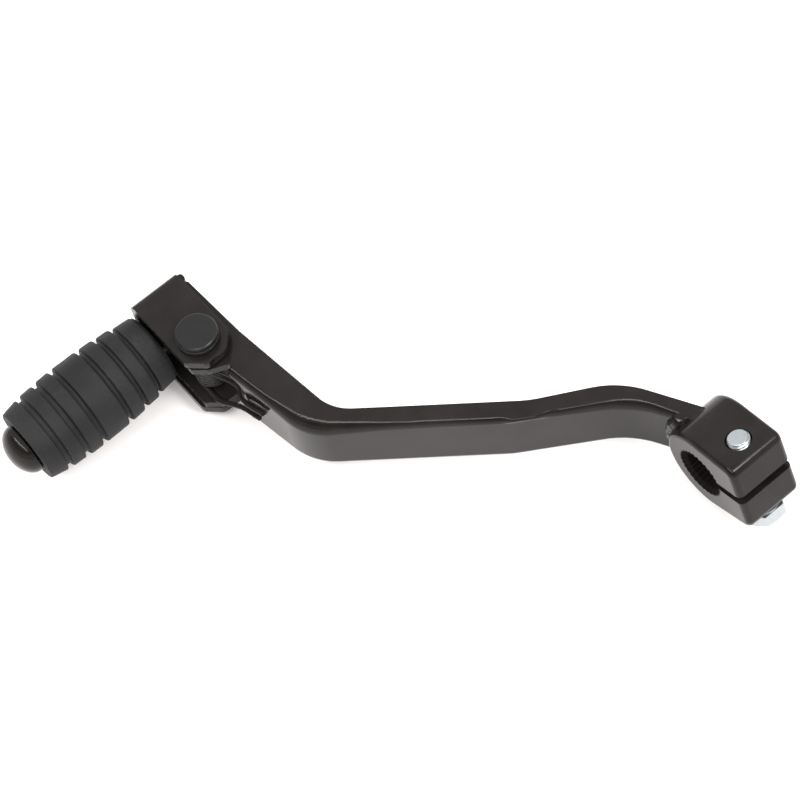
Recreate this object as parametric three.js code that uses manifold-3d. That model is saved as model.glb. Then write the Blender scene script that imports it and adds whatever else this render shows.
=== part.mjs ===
// Gear shift lever with a folding toe piece, for a motorcycle.
// A pressed steel channel is welded to a splined clamp boss.  At its other end the channel's two flanges
// form a fork, and a U-shaped toe bracket turns on a rivet through that fork, against a torsion spring.
//
// Frame: millimetres, +Z up along the rivet, +X forward to the toe, +Y outward along the splined bore.
// The origin is the middle of the splined bore.  Everything near the rivet is drawn with the rivet at 0, 0.

import * as THREE from "three";
import { mergeVertices } from "three/addons/utils/BufferGeometryUtils.js";
import Module from "manifold-3d";

const wasm = await Module();
wasm.setup();

// ---------------------------------------------------------------- driving dimensions

const pivotX = 106.4; // rivet axis ahead of the bore axis
const pivotY = 75.6; // rivet axis outward of the bore's middle
const midZ = -1.6; // middle height of the channel and the toe bracket
const clearance = 0.3; // between pieces that touch
const faceGap = 0.15; // between flat faces that lie on each other

const channelHeight = 19.2;
const channelDepth = 5; // from the web's outer face to the flanges' edge, behind the first bend
const sheet = 2.2; // the channel's sheet thickness

const bracketHeight = 25.4;
const bracketWidth = 14;
const strip = 2.5; // the bracket's strip thickness
const bracketFront = 19.9; // from the rivet axis to the bracket's front face
const bracketRear = 7.4; // from the rivet axis to the bracket's rear edge
const bracketBend = 3.2; // outer radius of its two bends
const bracketCut = 4; // the rear corners are cut off by this
const cutRound = 2; // and rounded by this

const rivetRadius = 2.6;
const rivetHeadRadius = 5.3;
const rivetHeadHeight = 1.5;
const washerRadius = 5.45;
const washerThickness = 1.2;
const lowerHeadShare = 0.95; // the formed rivet end's width as a share of the head's

const wireRadius = 0.7;
const coilRadius = 3.5; // to the middle of the wire
const coilPitch = 1.45;
const turnsPerBank = 4;

const pegX = 13.2; // peg axis ahead of the rivet axis
const pegRadius = 4.2;
const domeRadius = 6.8;
const domeHeight = 5.2;
const gripStart = 7.4; // outward from the rivet axis
const gripEnd = 47.8;
const pegLean = 0.8; // degrees that the peg's outer end leans to the rear
const gripLip = 9.3; // radius of the rubber's thin inner lip

const bossRadius = 11.9;
const bossWidth = 16;
const bossTilt = THREE.MathUtils.degToRad(19.5); // the pinch bolt leans forward by this
const earReach = 14.9; // from the bore axis to the ears' rear face
const earTaper = THREE.MathUtils.degToRad(6.3); // the ears' outer faces close to the rear by this
const earCorner = 2.6;
const slitWidth = 2.4;
const splineTeeth = 30;
const splineTip = 5.4;
const splineRoot = 6.2;
const boreChamfer = 0.9;

const boltRadius = 2.9;
const boltPlace = 8.8; // bolt axis behind the bore axis
const boltFlats = 10;
const boltSeat = 11; // from the bore axis to the face that the bolt's head is drawn against
const boltEnd = 11.9; // from the bore axis to the thread's end, above the upper ear
const boltHeadHeight = 4;

// ---------------------------------------------------------------- materials

function finish(color, roughness, metalness) {
  return new THREE.MeshStandardMaterial({ color, roughness, metalness });
}

const blackCoat = finish(0x17181a, 0.32, 0.2);
const rivetBlack = finish(0x1d1e20, 0.4, 0.4);
const springSteel = finish(0x3c3d40, 0.35, 0.8);
const rubber = finish(0x26272a, 0.85, 0);
const zinc = finish(0xc9d3da, 0.3, 0.9);

// ---------------------------------------------------------------- solids

function solid(geometry) {
  const bare = geometry.clone();
  bare.deleteAttribute("normal");
  bare.deleteAttribute("uv");
  const merged = mergeVertices(bare, 1e-4);
  const mesh = new wasm.Mesh({
    numProp: 3,
    vertProperties: Float32Array.from(merged.attributes.position.array),
    triVerts: Uint32Array.from(merged.index.array),
  });
  return new wasm.Manifold(mesh);
}

function geometryOf(manifold) {
  const mesh = manifold.getMesh();
  const geometry = new THREE.BufferGeometry();
  geometry.setAttribute("position", new THREE.BufferAttribute(mesh.vertProperties, mesh.numProp));
  geometry.setIndex(new THREE.BufferAttribute(mesh.triVerts, 1));
  geometry.computeVertexNormals();
  return geometry;
}

function joined(solids) {
  return solids.reduce((whole, next) => whole.add(next));
}

function named(name, manifold, material) {
  const mesh = new THREE.Mesh(geometryOf(manifold), material);
  mesh.name = name;
  return mesh;
}

// An outline whose corners are [x, y, radius].  A corner with a radius becomes an arc.
function filletedShape(corners) {
  const shape = new THREE.Shape();
  corners.forEach(([x, y, radius = 0], index) => {
    const before = corners[(index + corners.length - 1) % corners.length];
    const after = corners[(index + 1) % corners.length];
    const corner = new THREE.Vector2(x, y);
    const toBefore = new THREE.Vector2(before[0] - x, before[1] - y).normalize();
    const toAfter = new THREE.Vector2(after[0] - x, after[1] - y).normalize();
    let start = corner;
    if (radius > 0) {
      const half = Math.acos(THREE.MathUtils.clamp(toBefore.dot(toAfter), -1, 1)) / 2;
      const bisector = toBefore.clone().add(toAfter).normalize();
      const centre = corner.clone().addScaledVector(bisector, radius / Math.sin(half));
      start = corner.clone().addScaledVector(toBefore, radius / Math.tan(half));
      const end = corner.clone().addScaledVector(toAfter, radius / Math.tan(half));
      const from = Math.atan2(start.y - centre.y, start.x - centre.x);
      const to = Math.atan2(end.y - centre.y, end.x - centre.x);
      const clockwise = toBefore.cross(toAfter) > 0;
      if (index === 0) shape.moveTo(start.x, start.y);
      else shape.lineTo(start.x, start.y);
      shape.absarc(centre.x, centre.y, radius, from, to, clockwise);
    } else if (index === 0) {
      shape.moveTo(start.x, start.y);
    } else {
      shape.lineTo(start.x, start.y);
    }
  });
  shape.closePath();
  return shape;
}

// A plan outline, upright from low to high.
function upright(shape, low, high, curveSegments = 6) {
  const geometry = new THREE.ExtrudeGeometry(shape, { depth: high - low, bevelEnabled: false, curveSegments });
  return solid(geometry.translate(0, 0, low));
}

// A side outline, whose y becomes Z, centred across Y.
function across(shape, width, curveSegments = 8) {
  const geometry = new THREE.ExtrudeGeometry(shape, { depth: width, bevelEnabled: false, curveSegments });
  return solid(geometry.rotateX(Math.PI / 2).translate(0, width / 2, 0));
}

function uprightCylinder(radius, low, high, sides = 32) {
  const geometry = new THREE.CylinderGeometry(radius, radius, high - low, sides);
  return solid(geometry.rotateX(Math.PI / 2).translate(0, 0, (low + high) / 2));
}

function block(low, high) {
  const size = high.map((value, axis) => value - low[axis]);
  const middle = high.map((value, axis) => (value + low[axis]) / 2);
  return solid(new THREE.BoxGeometry(...size).translate(...middle));
}

// ---------------------------------------------------------------- channel

// Corners of the channel's outer face, seen from above, with the rivet at 0, 0: x, y, outer bend radius.
const faceCorners = [
  [-11, 0, 0],
  [-36.2, -3.6, 17],
  [-68.1, -41.4, 25],
  [-83.9, -65.6, 25],
  [-102, -75.1, 0],
];

// Corners of the flanges' free edge, from the boss back to the fork.
const edgeCorners = [
  [-98.5, -78.1, 0],
  [-78.5, -67.6, 24],
  [-67.5, -48.6, 30],
  [-36.8, -12.4, 12],
  [-4, -9.2, 0],
];

// The same path moved inward by a distance, with its bend radii adjusted to stay concentric.
function movedInward(corners, distance) {
  return corners.map(([x, y, radius], index) => {
    const before = corners[Math.max(index - 1, 0)];
    const after = corners[Math.min(index + 1, corners.length - 1)];
    const arriving = new THREE.Vector2(x - before[0], y - before[1]);
    const leaving = new THREE.Vector2(after[0] - x, after[1] - y);
    if (index === 0) arriving.copy(leaving);
    if (index === corners.length - 1) leaving.copy(arriving);
    arriving.normalize();
    leaving.normalize();
    const inward = new THREE.Vector2(-arriving.y - leaving.y, arriving.x + leaving.x).normalize();
    const stretch = distance / inward.dot(new THREE.Vector2(-arriving.y, arriving.x));
    const turnsInward = arriving.cross(leaving) > 0;
    const movedRadius = radius === 0 ? 0 : radius + (turnsInward ? -distance : distance);
    return [x + inward.x * stretch, y + inward.y * stretch, movedRadius];
  });
}

const earFar = -8.5; // the ears' inner edge
const earNear = 6.3; // the ears' outer edge
const earFront = bracketFront - strip - clearance;

// The flange outline: ear, outer face path, then the free edge back to the ear.
function flangeShape() {
  const roundFrom = Math.asin(earNear / earFront);
  return filletedShape([
    [earFront, earFar, 1.2],
    [earFront, 0],
    [earFront * Math.cos(roundFrom / 2), earFront * Math.sin(roundFrom / 2)],
    [earFront * Math.cos(roundFrom), earNear],
    [-4.4, earNear, 1],
    [-7.4, 3, 3],
    [-9.4, -1.5, 1.2],
    [faceCorners[0][0], -1.8],
    ...faceCorners,
    ...edgeCorners,
  ]);
}

function webShape() {
  const inner = movedInward(faceCorners, sheet).reverse();
  return filletedShape([...faceCorners, ...inner]);
}

const boreFromPivot = new THREE.Vector3(-pivotX, -pivotY, -midZ);

// The boss barrel and the space its ears need, grown by the clearance, as seen from the rivet.
function bossKeepout() {
  const barrel = new THREE.CylinderGeometry(bossRadius + clearance, bossRadius + clearance, 40, 64);
  return solid(barrel.translate(...boreFromPivot.toArray()));
}

const notchRear = -15.6;
const notchCorner = 4; // radius of the notch's rear top corner
const notchInner = -3.1; // the notch cuts the web, and stops short of the flanges' inner edge

// The opening in the web behind the fork, where the spring's legs come out.
function webNotch() {
  const front = faceCorners[0][0] + 3;
  const top = channelHeight / 2 - sheet;
  const shape = filletedShape([
    [notchRear, -channelHeight],
    [notchRear, top, notchCorner],
    [front, top],
    [front, -channelHeight],
  ]);
  const width = 8;
  return across(shape, width).translate([0, notchInner + width / 2, 0]);
}

function channel() {
  const top = channelHeight / 2;
  const flange = flangeShape();
  const plates = [upright(flange, top - sheet, top), upright(flange, -top, sheet - top)];
  const whole = joined([upright(webShape(), -top, top), ...plates]);
  const hole = uprightCylinder(rivetRadius + clearance, -top - 1, top + 1);
  return whole.subtract(webNotch()).subtract(hole).subtract(bossKeepout());
}

// ---------------------------------------------------------------- clamp boss

// V-shaped teeth all round the bore.
function splineShape() {
  const shape = new THREE.Shape();
  const corners = splineTeeth * 2;
  for (let index = 0; index < corners; index += 1) {
    const angle = (index / corners) * Math.PI * 2;
    const radius = index % 2 === 0 ? splineTip : splineRoot;
    if (index === 0) shape.moveTo(radius, 0);
    else shape.lineTo(radius * Math.cos(angle), radius * Math.sin(angle));
  }
  shape.closePath();
  return shape;
}

// Seen from the side with the ears pointing to -x, before the boss is tilted.  The ears' outer faces leave
// the barrel at a tangent.
function bossShape() {
  const shape = new THREE.Shape();
  const tangent = Math.PI / 2 + earTaper;
  const cornerX = earCorner - earReach;
  const cornerY = (bossRadius - earCorner) / Math.cos(earTaper) + cornerX * Math.tan(earTaper);
  shape.moveTo(-earReach, -cornerY);
  shape.absarc(cornerX, -cornerY, earCorner, Math.PI, 2 * Math.PI - tangent, false);
  shape.absarc(0, 0, bossRadius, -tangent, tangent, false);
  shape.absarc(cornerX, cornerY, earCorner, tangent, Math.PI, false);
  shape.closePath();
  return shape;
}

function boreCone(side) {
  const mouth = bossWidth / 2;
  const outer = splineRoot + boreChamfer + 1; // a 45 degree cone that starts 1 mm outside the mouth
  const cone = new THREE.ConeGeometry(outer, outer, 48);
  if (side > 0) cone.rotateX(Math.PI);
  return solid(cone.translate(0, side * (mouth + 1 - outer / 2), 0));
}

function clampBoss() {
  const slit = block([-earReach - 1, -bossWidth, -slitWidth / 2], [0, bossWidth, slitWidth / 2]);
  const boltHole = uprightCylinder(boltRadius + clearance, -30, 30).translate([-boltPlace, 0, 0]);
  const spotFace = uprightCylinder(boltFlats / Math.sqrt(3) + 0.4, -20, -boltSeat).translate([-boltPlace, 0, 0]);
  const bore = across(splineShape(), bossWidth + 2);
  return across(bossShape(), bossWidth, 20)
    .subtract(spotFace)
    .subtract(bore)
    .subtract(boreCone(1))
    .subtract(boreCone(-1))
    .subtract(slit)
    .subtract(boltHole);
}

function pinchBolt() {
  const shank = uprightCylinder(boltRadius, -boltSeat - 1, boltEnd, 24);
  const headRadius = boltFlats / Math.sqrt(3);
  const headTop = -boltSeat - faceGap;
  const head = uprightCylinder(headRadius, headTop - boltHeadHeight, headTop, 6);
  return shank.add(head).translate([-boltPlace, 0, 0]);
}

// ---------------------------------------------------------------- weld between channel and boss

const beadSpacing = 2.1;
const beadOffset = 1.1; // the beads' middle stands this far off the corner
const faceBead = 2.5; // bead radius up the channel's outer face
const flangeBead = 1.9; // bead radius along its two flanges
const beadRipple = 0.25;

// Where the channel meets the barrel: up the outer face, and along the top and bottom flanges.
function weldBead() {
  const last = faceCorners[faceCorners.length - 1];
  const previous = faceCorners[faceCorners.length - 2];
  const slope = (last[1] - previous[1]) / (last[0] - previous[0]);
  const halfHeight = channelHeight / 2;
  const faceAt = (x) => last[1] + slope * (x - last[0]);
  const barrelFront = (z) => {
    const height = Math.min(Math.abs(z - boreFromPivot.z), bossRadius * 0.85);
    return boreFromPivot.x + Math.sqrt(bossRadius ** 2 - height ** 2);
  };
  const beads = [];
  const addBead = (x, y, z, radius) => {
    beads.push(solid(new THREE.SphereGeometry(radius, 9, 7).rotateX(0.6 * x).translate(x, y, z)));
  };
  const uprightBeads = Math.round((channelHeight - 1) / beadSpacing);
  for (let index = 0; index <= uprightBeads; index += 1) {
    const z = -halfHeight + 0.5 + ((channelHeight - 1) * index) / uprightBeads;
    const x = barrelFront(z) + beadOffset;
    addBead(x, faceAt(x) + beadOffset, z, faceBead + beadRipple * Math.sin(index * 2.4));
  }
  const flangeBeads = Math.round(channelDepth / beadSpacing) + 1;
  for (const side of [-1, 1]) {
    const z = side * (halfHeight + clearance);
    const x = barrelFront(z) + beadOffset;
    for (let index = 0; index <= flangeBeads; index += 1) {
      const y = faceAt(x) - (channelDepth * index) / flangeBeads;
      addBead(x, y, z, flangeBead + beadRipple * Math.cos(index * 1.9));
    }
  }
  return joined(beads).subtract(channelKeepout()).subtract(bossKeepout());
}

// The channel's last stretch, grown by the clearance on all sides.
function channelKeepout() {
  const grown = movedInward(faceCorners, -clearance);
  const inner = movedInward(faceCorners, channelDepth + clearance).reverse();
  const reach = channelHeight / 2 + clearance;
  return upright(filletedShape([...grown, ...inner]), -reach, reach);
}

// ---------------------------------------------------------------- toe bracket and peg

// The bent strip, seen from the side: an outer U less an inner one, open to the rear.
function bracketProfile() {
  const half = bracketHeight / 2;
  const inner = half - strip;
  return filletedShape([
    [-bracketRear, -half],
    [bracketFront, -half, bracketBend],
    [bracketFront, half, bracketBend],
    [-bracketRear, half],
    [-bracketRear, inner],
    [bracketFront - strip, inner, bracketBend - strip],
    [bracketFront - strip, -inner, bracketBend - strip],
    [-bracketRear, -inner],
  ]);
}

// The strip's plan: its rear corners are cut off.
function bracketPlan() {
  const half = bracketWidth / 2;
  return filletedShape([
    [bracketFront + 1, -half],
    [bracketFront + 1, half],
    [bracketCut - bracketRear, half, cutRound],
    [-bracketRear, half - bracketCut, cutRound],
    [-bracketRear, bracketCut - half, cutRound],
    [bracketCut - bracketRear, -half, cutRound],
  ]);
}

// The lug hangs from the front wall behind the arm's ear, so that the fork's square corner stops it.
function toeBracket() {
  const half = bracketHeight / 2;
  const lugReach = earFar - 0.2;
  const lugHeight = half - bracketBend;
  const web = [bracketFront - strip, bracketFront];
  const lug = block([web[0], lugReach, -lugHeight], [web[1], -bracketWidth / 2 + 1, lugHeight]);
  const bent = across(bracketProfile(), bracketWidth + 2).intersect(upright(bracketPlan(), -half - 1, half + 1));
  const hole = uprightCylinder(rivetRadius + clearance, -half - 1, half + 1);
  return bent.add(lug).subtract(hole);
}

// Puts a turned piece on the peg's axis, which leans from its inner end.
function leaned(turned) {
  const setBack = (bracketWidth / 2) * Math.sin(THREE.MathUtils.degToRad(pegLean));
  return turned.rotate([0, 0, pegLean]).translate([pegX - setBack, 0, 0]);
}

// A round bar along Y with a domed end, turned as one piece.
function toePeg() {
  const edge = 0.5; // the inner end's chamfer, and the straight edge below the dome
  const inner = -bracketWidth / 2 + edge;
  const shoulder = gripEnd + faceGap;
  const profile = [
    new THREE.Vector2(0, inner),
    new THREE.Vector2(pegRadius - edge, inner),
    new THREE.Vector2(pegRadius, inner + edge),
    new THREE.Vector2(pegRadius, shoulder),
    new THREE.Vector2(domeRadius, shoulder),
  ];
  const steps = 8;
  for (let index = 0; index <= steps; index += 1) {
    const angle = (index / steps) * (Math.PI / 2);
    const radius = index === steps ? 0 : domeRadius * Math.cos(angle);
    profile.push(new THREE.Vector2(radius, shoulder + edge + (domeHeight - edge) * Math.sin(angle)));
  }
  return leaned(solid(new THREE.LatheGeometry(profile, 28)));
}

// One fillet along the bar, above or below it, where it lies against the bracket's front wall.
function pegWeld(side) {
  const wall = bracketFront - strip - clearance;
  const length = bracketWidth - 3;
  const throat = 3.2; // how far the fillet reaches back along the bar
  const shape = filletedShape([
    [wall, side * (pegRadius - 2)],
    [wall, side * (pegRadius + 1)],
    [wall - throat * 0.4, side * (pegRadius + 0.8)],
    [wall - throat, side * (pegRadius - 0.6)],
  ]);
  const bar = new THREE.CylinderGeometry(pegRadius + clearance, pegRadius + clearance, 40, 28);
  return across(shape, length).subtract(solid(bar.translate(pegX, 0, 0)));
}

// ---------------------------------------------------------------- rubber grip

// Seven bands: start and end outward from the rivet axis, and the radius at each end.
const bands = [
  [7.9, 12.9, 9.6, 10.0],
  [14.1, 17.7, 10.5, 10.7],
  [19.0, 22.8, 11.0, 11.2],
  [24.2, 31.1, 11.3, 11.4],
  [32.5, 36.3, 11.4, 11.3],
  [37.8, 41.5, 11.1, 11.0],
  [43.0, gripEnd, 10.7, 9.9],
];

const grooveDepth = 1.3;
const gripBore = pegRadius + clearance;

function rubberGrip() {
  const profile = [new THREE.Vector2(gripBore, gripStart)];
  profile.push(new THREE.Vector2(gripLip, gripStart));
  const round = 0.4;
  bands.forEach(([start, end, startRadius, endRadius]) => {
    profile.push(new THREE.Vector2(startRadius - grooveDepth, start));
    profile.push(new THREE.Vector2(startRadius - round, start));
    profile.push(new THREE.Vector2(startRadius, start + round));
    profile.push(new THREE.Vector2(endRadius, end - round));
    profile.push(new THREE.Vector2(endRadius - round, end));
    if (end !== gripEnd) profile.push(new THREE.Vector2(endRadius - grooveDepth, end));
  });
  profile.push(new THREE.Vector2(gripBore, gripEnd));
  profile.push(profile[0].clone());
  return leaned(solid(new THREE.LatheGeometry(profile, 36)));
}

// ---------------------------------------------------------------- rivet and washers

function pivotRivet() {
  const half = bracketHeight / 2;
  const under = half + faceGap * 2 + washerThickness;
  const lowerRadius = rivetHeadRadius * lowerHeadShare;
  const bevel = 0.35;
  const profile = [
    [0, -under - rivetHeadHeight],
    [lowerRadius * 0.75, -under - rivetHeadHeight],
    [lowerRadius, -under - bevel],
    [lowerRadius, -under],
    [rivetRadius, -under],
    [rivetRadius, under],
    [rivetHeadRadius, under],
    [rivetHeadRadius, under + rivetHeadHeight - bevel],
    [rivetHeadRadius - bevel, under + rivetHeadHeight],
    [0, under + rivetHeadHeight],
  ].map(([radius, z]) => new THREE.Vector2(radius, z));
  return solid(new THREE.LatheGeometry(profile, 36).rotateX(Math.PI / 2));
}

function washer(side) {
  const inner = rivetRadius + faceGap;
  const low = bracketHeight / 2 + faceGap;
  const ring = uprightCylinder(washerRadius, low, low + washerThickness, 36);
  const hole = uprightCylinder(inner, low - 1, low + washerThickness + 1, 36);
  const whole = ring.subtract(hole);
  return side > 0 ? whole : whole.rotate([180, 0, 0]);
}

// ---------------------------------------------------------------- torsion spring

// Turns from the coil's outward side, going down: side 1 turns clockwise seen from above, -1 the other way.
function coilPoints(startZ, side) {
  const stepsPerTurn = 12;
  const points = [];
  for (let index = 0; index <= turnsPerBank * stepsPerTurn; index += 1) {
    const angle = Math.PI / 2 - (side * index * 2 * Math.PI) / stepsPerTurn;
    const z = startZ - (coilPitch * index) / stepsPerTurn;
    points.push(new THREE.Vector3(coilRadius * Math.cos(angle), coilRadius * Math.sin(angle), z));
  }
  return points;
}

const legRest = 1.1; // the legs' middle lies this far outward of the web's face

// Free leg, upper bank, middle loop against the peg, lower bank, free leg.
function springPoints() {
  const loopHalf = coilPitch / 2;
  const loopX = pegX - pegRadius - clearance - wireRadius;
  const top = loopHalf + turnsPerBank * coilPitch;
  const slope = faceCorners[1][1] / (faceCorners[1][0] - faceCorners[0][0]);
  const onFace = (x, z) => new THREE.Vector3(x, slope * (x - faceCorners[0][0]) + legRest, z);
  return [
    onFace(-22.8, 3.2),
    onFace(-16.8, 1.5),
    new THREE.Vector3(-14, 0, 0.9),
    new THREE.Vector3(-10.8, -1, 1.6),
    new THREE.Vector3(-6, 2, 5),
    new THREE.Vector3(-2, coilRadius, top),
    ...coilPoints(top, 1),
    new THREE.Vector3(loopX - 2, coilRadius + 0.1, loopHalf),
    new THREE.Vector3(loopX - 0.3, coilRadius + 0.2, loopHalf * 0.8),
    new THREE.Vector3(loopX, coilRadius + 0.2, 0),
    new THREE.Vector3(loopX - 0.3, coilRadius + 0.2, -loopHalf * 0.8),
    new THREE.Vector3(loopX - 2, coilRadius + 0.1, -loopHalf),
    ...coilPoints(-loopHalf, -1),
    new THREE.Vector3(-2, coilRadius, -top),
    new THREE.Vector3(-6.4, 3.4, -top),
    new THREE.Vector3(-7.8, 3.1, 0.3 - top),
    onFace(-13.5, -4.3),
    onFace(-20.4, -2),
  ];
}

function torsionSpring() {
  const section = new THREE.Shape();
  section.absarc(0, 0, wireRadius, 0, Math.PI * 2, false);
  const points = springPoints();
  const geometry = new THREE.ExtrudeGeometry(section, {
    steps: points.length * 2,
    bevelEnabled: false,
    curveSegments: 3,
    extrudePath: new THREE.CatmullRomCurve3(points, false, "centripetal"),
  });
  return solid(geometry);
}

// ---------------------------------------------------------------- the whole part

const bossGroup = new THREE.Group();
bossGroup.rotation.y = bossTilt;
bossGroup.add(named("clamp_boss", clampBoss(), blackCoat));
bossGroup.add(named("pinch_bolt", pinchBolt(), zinc));

const pivotGroup = new THREE.Group();
pivotGroup.position.set(pivotX, pivotY, midZ);
pivotGroup.add(named("lever_channel", channel(), blackCoat));
pivotGroup.add(named("boss_weld", weldBead(), blackCoat));
pivotGroup.add(named("pivot_rivet", pivotRivet(), rivetBlack));
pivotGroup.add(named("upper_washer", washer(1), rivetBlack));
pivotGroup.add(named("lower_washer", washer(-1), rivetBlack));
pivotGroup.add(named("torsion_spring", torsionSpring(), springSteel));
pivotGroup.add(named("toe_bracket", toeBracket(), blackCoat));
pivotGroup.add(named("toe_peg", toePeg(), blackCoat));
pivotGroup.add(named("peg_weld_upper", pegWeld(1), blackCoat));
pivotGroup.add(named("peg_weld_lower", pegWeld(-1), blackCoat));
pivotGroup.add(named("rubber_grip", rubberGrip(), rubber));

const gearShiftLever = new THREE.Group();
gearShiftLever.add(bossGroup, pivotGroup);

export default gearShiftLever;
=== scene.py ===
import math

import bmesh
import bpy
from mathutils import Matrix, Vector, noise


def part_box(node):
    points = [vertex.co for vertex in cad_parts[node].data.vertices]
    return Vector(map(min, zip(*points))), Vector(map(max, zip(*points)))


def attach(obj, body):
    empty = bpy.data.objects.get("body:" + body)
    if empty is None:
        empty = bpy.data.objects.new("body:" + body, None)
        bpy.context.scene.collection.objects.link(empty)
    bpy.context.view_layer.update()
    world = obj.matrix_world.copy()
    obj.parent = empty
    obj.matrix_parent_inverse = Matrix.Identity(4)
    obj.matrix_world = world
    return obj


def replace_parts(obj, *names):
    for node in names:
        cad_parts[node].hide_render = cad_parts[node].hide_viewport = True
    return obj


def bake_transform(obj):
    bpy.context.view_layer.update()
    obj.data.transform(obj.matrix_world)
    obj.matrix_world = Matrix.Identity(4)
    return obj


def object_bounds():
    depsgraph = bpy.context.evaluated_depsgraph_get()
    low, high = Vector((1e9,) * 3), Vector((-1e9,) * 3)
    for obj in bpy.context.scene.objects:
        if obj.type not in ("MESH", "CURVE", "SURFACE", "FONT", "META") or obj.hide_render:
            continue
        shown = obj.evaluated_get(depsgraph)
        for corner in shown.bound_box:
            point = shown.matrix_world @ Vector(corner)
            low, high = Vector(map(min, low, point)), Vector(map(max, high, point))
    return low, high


# The looks of a motorcycle gear shift lever with a folding toe piece, built around its CAD frame.
# Frame: +X forward to the toe, +Y outward along the splined bore, +Z up along the rivet, origin in the bore.
# Shapes are written in millimetres, around the rivet or around the bore, and meshes are made in metres.

MM = 0.001
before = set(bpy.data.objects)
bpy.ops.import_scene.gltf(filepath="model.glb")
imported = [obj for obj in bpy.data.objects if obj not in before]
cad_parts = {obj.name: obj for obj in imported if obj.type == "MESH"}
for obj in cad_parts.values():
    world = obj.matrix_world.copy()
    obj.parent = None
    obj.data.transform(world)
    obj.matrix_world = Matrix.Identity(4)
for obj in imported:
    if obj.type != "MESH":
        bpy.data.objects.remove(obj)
cad_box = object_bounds()


def low_mm(node):
    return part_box(node)[0] / MM


def high_mm(node):
    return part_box(node)[1] / MM


def middle_mm(node):
    return (low_mm(node) + high_mm(node)) / 2


# ---------------------------------------------------------------- sizes, in millimetres

FAR = 20  # past every edge of the piece being cut
HOLE_GAP = 0.3  # between a hole and the pin in it

RIVET = Vector((middle_mm("pivot_rivet").x, middle_mm("pivot_rivet").y, middle_mm("toe_bracket").z))
BORE = -RIVET  # the bore's middle, seen from the rivet

CHANNEL_HALF = (high_mm("lever_channel").z - low_mm("lever_channel").z) / 2
CHANNEL_DEPTH = 5.0
SHEET = 2.2
SHEET_BEND = 2.0  # outer radius where the flanges turn from the web
WIDE_BEND = 2.2  # and how much wider it gets round the first bend
FIRST_REACH = 10  # how far along the arm the bend stays wide at the first and last bends
LAST_REACH = 7
BULGE_X = -70.4  # where the second bend squeezed the upper edge outward
BULGE_HEIGHT = 1.3
BULGE_REACH = 3.0
FACE_SPACING = 1.0  # between the points along the arm's face

BRACKET_HALF = (high_mm("toe_bracket").z - low_mm("toe_bracket").z) / 2
BRACKET_WIDTH = 14.0
BRACKET_FRONT = high_mm("toe_bracket").x - RIVET.x
BRACKET_REAR = RIVET.x - low_mm("toe_bracket").x
BRACKET_BEND = 3.2
BRACKET_CUT = 4.0
STRIP = 2.5

EAR_FAR = -8.5
EAR_NEAR = 6.3
EAR_FRONT = BRACKET_FRONT - STRIP - 0.3

RIVET_RADIUS = 2.6
HEAD_RADIUS = 5.3
HEAD_HEIGHT = 1.5
WASHER_RADIUS = 5.45
WASHER_THICKNESS = 1.2

WIRE_RADIUS = 0.7
COIL_RADIUS = 3.5
COIL_PITCH = 1.45
COIL_TURNS = 4

PEG_X = 13.2
PEG_LEAN = math.radians(0.8)  # the peg's outer end leans to the rear
PEG_RADIUS = 4.2
DOME_RADIUS = 6.8
DOME_HEIGHT = 5.2
GRIP_START = 7.4
GRIP_END = 47.8

BOSS_RADIUS = 11.9
BOSS_HALF = (high_mm("clamp_boss").y - low_mm("clamp_boss").y) / 2
BOSS_TILT = math.radians(19.5)
BOSS_SOFT = 1.6  # how far the boss's two ends are rounded
EAR_REACH = 14.9
EAR_TAPER = 6.3  # degrees by which the ears' outer faces close to the rear
EAR_CORNER = 2.6
SLIT = 2.4
SPLINE_TEETH = 30
SPLINE_TIP = 5.4
SPLINE_ROOT = 6.2
MOUTH_TIP = 6.5  # the teeth open out towards the bore's two mouths
MOUTH_ROOT = 7.1
MOUTH_DEPTH = 1.1
MOUTH_LIP = 0.25

BOLT_X = -8.8
BOLT_RADIUS = 2.9
BOLT_FLATS = 10.0
BOLT_HEAD = 4.0
BOLT_SEAT = 11.0  # from the bore axis to the spot face under the bolt's head
BOLT_END = 11.9
THREAD_PITCH = 1.0
THREAD_DEPTH = 0.5
SPOT_MARGIN = 0.4  # the spot face around the hexagon

# Corners of the channel's outer face from above, around the rivet: x, y, bend radius.
FACE = [(-11, 0, 0), (-36.2, -3.6, 17), (-68.1, -41.4, 25), (-83.9, -65.6, 25), (-102, -75.1, 0)]

DIMPLE = (-70.5, -51.1)  # a shallow press mark in the upper flange
DIMPLE_BALL = 3.0
DIMPLE_LEVEL = 2.78  # of the ball's centre above the flange
NOTCH_END = -15.6  # the opening in the web, from here to the fork

# Corners of the flanges' free edge, from the boss back to the fork.
EDGE = [(-98.5, -78.1, 0), (-78.5, -67.6, 24), (-67.5, -48.6, 30), (-36.8, -12.4, 12), (-4, -9.2, 0)]

# Rubber bands: start and end outward from the rivet, and the radius at each end.
BANDS = [
    (GRIP_START + 0.5, 12.9, 9.6, 10.0),
    (14.1, 17.7, 10.5, 10.7),
    (19.0, 22.8, 11.0, 11.2),
    (24.2, 31.1, 11.3, 11.4),
    (32.5, 36.3, 11.4, 11.3),
    (37.8, 41.5, 11.1, 11.0),
    (43.0, GRIP_END, 10.7, 9.9),
]

AIM = Vector((64.2, 47.6, 0))  # the point in the middle of the picture, from the bore
CAMERA_DISTANCE = 600
CAMERA_AZIMUTH = math.radians(243.5)
CAMERA_ELEVATION = math.radians(61.0)
CAMERA_ROLL = math.radians(-14.8)
CAMERA_LENS = 110.7


# ---------------------------------------------------------------- mesh helpers


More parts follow.
